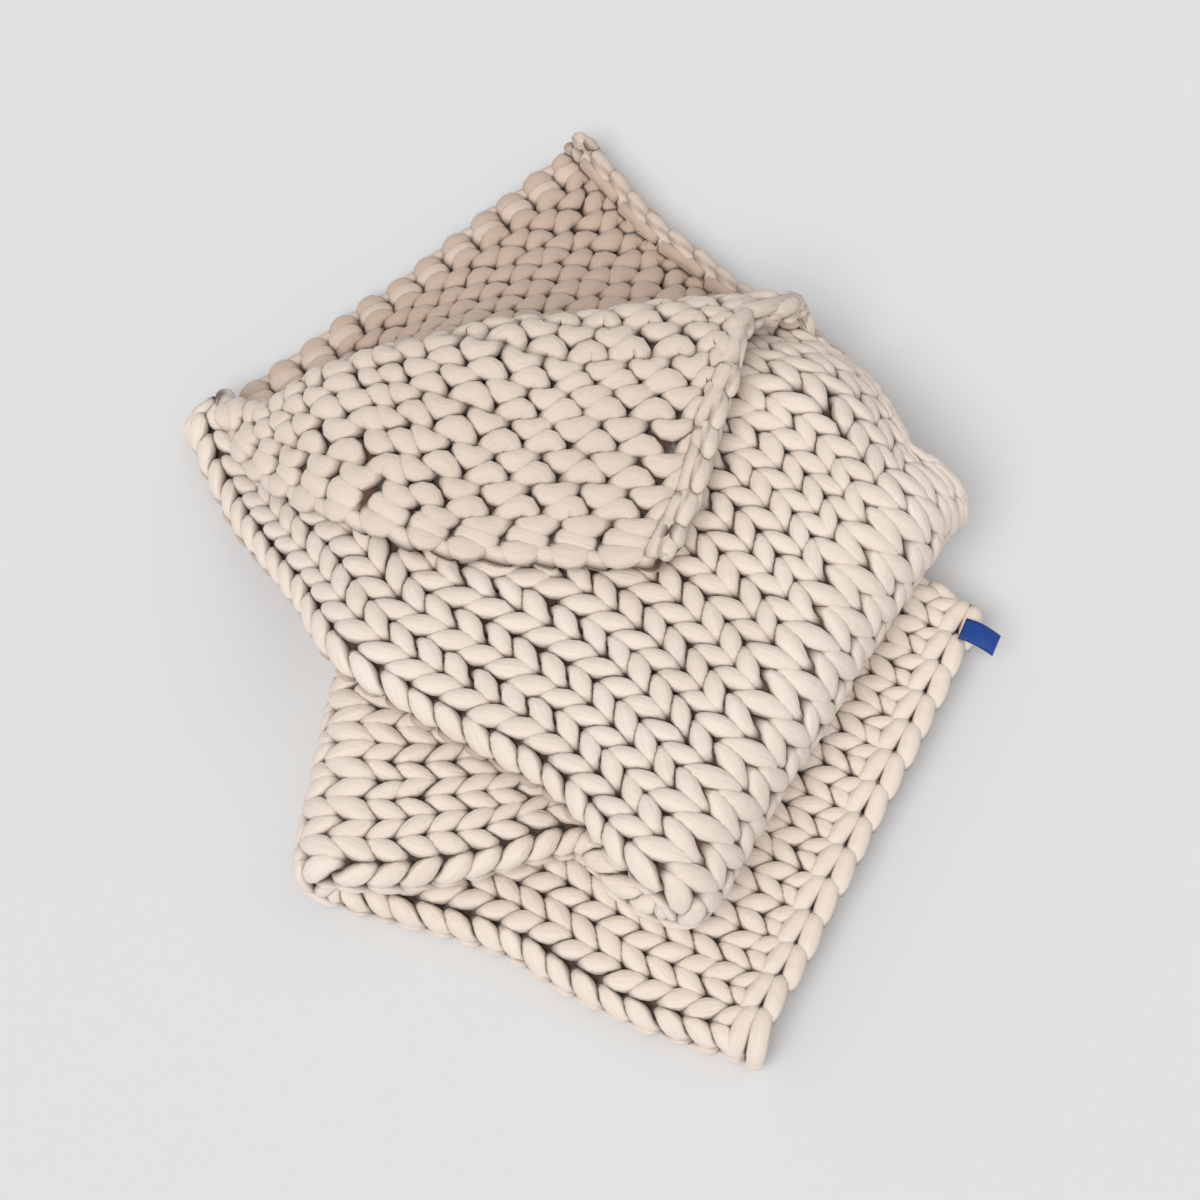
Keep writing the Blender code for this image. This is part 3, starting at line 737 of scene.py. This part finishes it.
# the cast-on edge: loops wound round it, with a knob on each side for every stitch, and a thinner row outside
castOn = {
    # centre from the edge, half length, depth, half width and half height
    "rows": ((0.0222, 0.0145, 0.0074, 0.0132, 0.0086), (0.0075, 0.0130, 0.0040, 0.0080, 0.0068)),
    "lean": 0.0035, "scatter": (0.0012, 0.0010, 0.05), "margin": 0.006, "bare": 0.002, "shade": 0.6,
    "tip": 0.80, "segments": 24,
}


def castOnLoops():
    paths = []
    acrossScatter, alongScatter, sizeScatter = castOn["scatter"]
    turn = np.arange(castOn["segments"]) / castOn["segments"] * 2 * math.pi
    for number, (centre, halfLength, deep, wide, thick) in enumerate(castOn["rows"]):
        for link in range(-knit["wales"], knit["wales"] + 1 - number):
            middle = (link + 0.5 * number) * waleWidth
            across = middle + halfLength * np.cos(turn) + randomSource.normal(0, acrossScatter)
            along = length - centre + castOn["lean"] * np.cos(turn) + randomSource.normal(0, alongScatter)
            depth = deep * np.sin(turn)
            across = np.clip(across, -halfWidth + castOn["margin"], halfWidth - castOn["margin"])
            points, normals, depth, size = laid(along, across, depth)
            size = size * (1 + randomSource.normal(0, sizeScatter)) * (
                castOn["tip"] + (1 - castOn["tip"]) * np.abs(np.sin(turn)))
            paths.append((points, normals, depth, wide * size, thick * size, castOn["bare"],
                          innerShade(along, across) * castOn["shade"], True))
    return tubeMesh("cast_on_edge", paths, yarnMaterial)


loops = castOnLoops()
dress(loops)
print(loops.name, len(loops.data.polygons), "faces")

label = {"length": 0.038, "width": 0.024, "ply": 0.0006, "apart": 0.0012, "spot": (0.3965, -0.092),
         "turn": math.radians(-24), "level": 0.0665, "bow": 0.0022, "droop": 0.0070, "cup": 0.0022,
         "ripple": 0.0006, "foldTurn": 60, "columns": 14, "rows": 8}


def wovenTape():
    # satin-woven polyester tape: bright threads across it, each 0.35 mm wide, with a soft sheen
    material, tree, shader = newMaterial("blue_woven_tape")
    shader.inputs["Roughness"].default_value = 0.55
    uv = addNode(tree, "ShaderNodeUVMap", uv_map="tape")
    threads = addNode(tree, "ShaderNodeTexWave", [("Vector", uv.outputs["UV"])], Scale=2 * math.pi / 0.00035 / 20,
                      Distortion=0.6, Detail=2.0, Detail_Scale=1.0)
    ramp = addNode(tree, "ShaderNodeValToRGB", [("Fac", threads.outputs["Fac"])])
    ramp.color_ramp.elements[0].color, ramp.color_ramp.elements[1].color = linear("#013581"), linear("#07469a")
    tree.links.new(ramp.outputs["Color"], shader.inputs["Base Color"])
    bump = addNode(tree, "ShaderNodeBump", [("Height", threads.outputs["Fac"])], Strength=0.4, Distance=0.0002)
    tree.links.new(bump.outputs["Normal"], shader.inputs["Normal"])
    return material


def foldedTape():
    # one strip of tape, folded at its outer end, the lower ply on the chain
    run, level = [], []
    reach, apart = label["length"] / 2, label["apart"]
    for x in np.linspace(-reach, reach - apart / 2, label["columns"]):
        run.append(x)
        level.append(0.0)
    for angle in np.linspace(-label["foldTurn"], label["foldTurn"], 5):
        run.append(reach - apart / 2 + apart / 2 * math.cos(math.radians(angle)))
        level.append(apart / 2 + apart / 2 * math.sin(math.radians(angle)))
    for x in np.linspace(reach - apart / 2, -reach, label["columns"]):
        run.append(x)
        level.append(apart)
    run, level = np.array(run), np.array(level)
    across = np.linspace(-0.5, 0.5, label["rows"]) * label["width"]
    x, y = np.meshgrid(run, across, indexing="ij")
    share = (x + reach) / (2 * reach)
    z = (label["level"] + level[:, None] + label["bow"] * np.sin(math.pi * share) - label["droop"] * share ** 3
         - label["cup"] * (2 * y / label["width"]) ** 2 * (0.4 + share)
         + label["ripple"] * np.sin(160 * x + 210 * y))
    c, s = math.cos(label["turn"]), math.sin(label["turn"])
    points = np.stack([label["spot"][0] + x * c - y * s, label["spot"][1] + x * s + y * c, z], axis=-1)
    rows, columns = x.shape
    faces, uvs = [], []
    along = np.concatenate([[0], np.cumsum(np.hypot(np.diff(run), np.diff(level)))])
    for i in range(rows - 1):
        for j in range(columns - 1):
            faces.append((i * columns + j, (i + 1) * columns + j, (i + 1) * columns + j + 1, i * columns + j + 1))
            uvs += [(along[i], across[j]), (along[i + 1], across[j]),
                    (along[i + 1], across[j + 1]), (along[i], across[j + 1])]
    mesh = bpy.data.meshes.new("label_tape")
    mesh.from_pydata(points.reshape(-1, 3).tolist(), [], faces)
    mesh.uv_layers.new(name="tape").data.foreach_set("uv", np.array(uvs).ravel())
    mesh.materials.append(wovenTape())
    mesh.shade_smooth()
    thing = bpy.data.objects.new("label_tape", mesh)
    bpy.context.scene.collection.objects.link(thing)
    solid = thing.modifiers.new("ply", "SOLIDIFY")
    solid.thickness = label["ply"]
    solid.offset = 0
    return thing, along[-1]


tape, tapeLength = foldedTape()
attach(tape, "root")
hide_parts("label")
print(tape.name, round(tapeLength, 4), "long")


floorMaterial, floorTree, floorShader = newMaterial("pale_paper_floor")
floorShader.inputs["Base Color"].default_value = linear("#dedede")
floorShader.inputs["Roughness"].default_value = 0.9
bpy.ops.object.select_all(action="DESELECT")
bpy.ops.mesh.primitive_plane_add(size=14, location=(0, 0, 0))
floor = bpy.context.object
floor.name = "floor"
floor.data.materials.append(floorMaterial)

bpy.context.scene.view_settings.view_transform = "Standard"
world = bpy.data.worlds.new("soft_studio")
bpy.context.scene.world = world
world.use_nodes = True
world.node_tree.nodes["Background"].inputs["Color"].default_value = (1, 1, 1, 1)
world.node_tree.nodes["Background"].inputs["Strength"].default_value = 0.42

# large soft boxes, far enough off to light the floor evenly: place, angle they fill, strength
studio = {
    "key": ((-0.7, -1.45, 2.7), math.radians(38), 2.07),
    "fill": ((1.5, 0.6, 2.6), math.radians(50), 0.20),
}
for name, (place, angle, energy) in studio.items():
    bpy.ops.object.light_add(type="SUN", location=place)
    lamp = bpy.context.object
    lamp.name = "light_" + name
    lamp.data.angle = angle
    lamp.data.energy = energy
    lamp.rotation_euler = (-Vector(place)).to_track_quat("-Z", "Y").to_euler()

view = {"target": (0.014, -0.068, 0.100), "distance": 3.0, "elevation": math.radians(66), "halfFrame": 600 / 3000}
target = Vector(view["target"])
camera = bpy.data.objects.new("camera", bpy.data.cameras.new("camera"))
bpy.context.scene.collection.objects.link(camera)
camera.location = target + view["distance"] * Vector((0, -math.cos(view["elevation"]), math.sin(view["elevation"])))
camera.rotation_euler = (target - camera.location).to_track_quat("-Z", "Y").to_euler()
camera.data.angle = 2 * math.atan(view["halfFrame"])
camera.data.clip_end = 50
bpy.context.scene.camera = camera

print("floor, lights and camera placed")
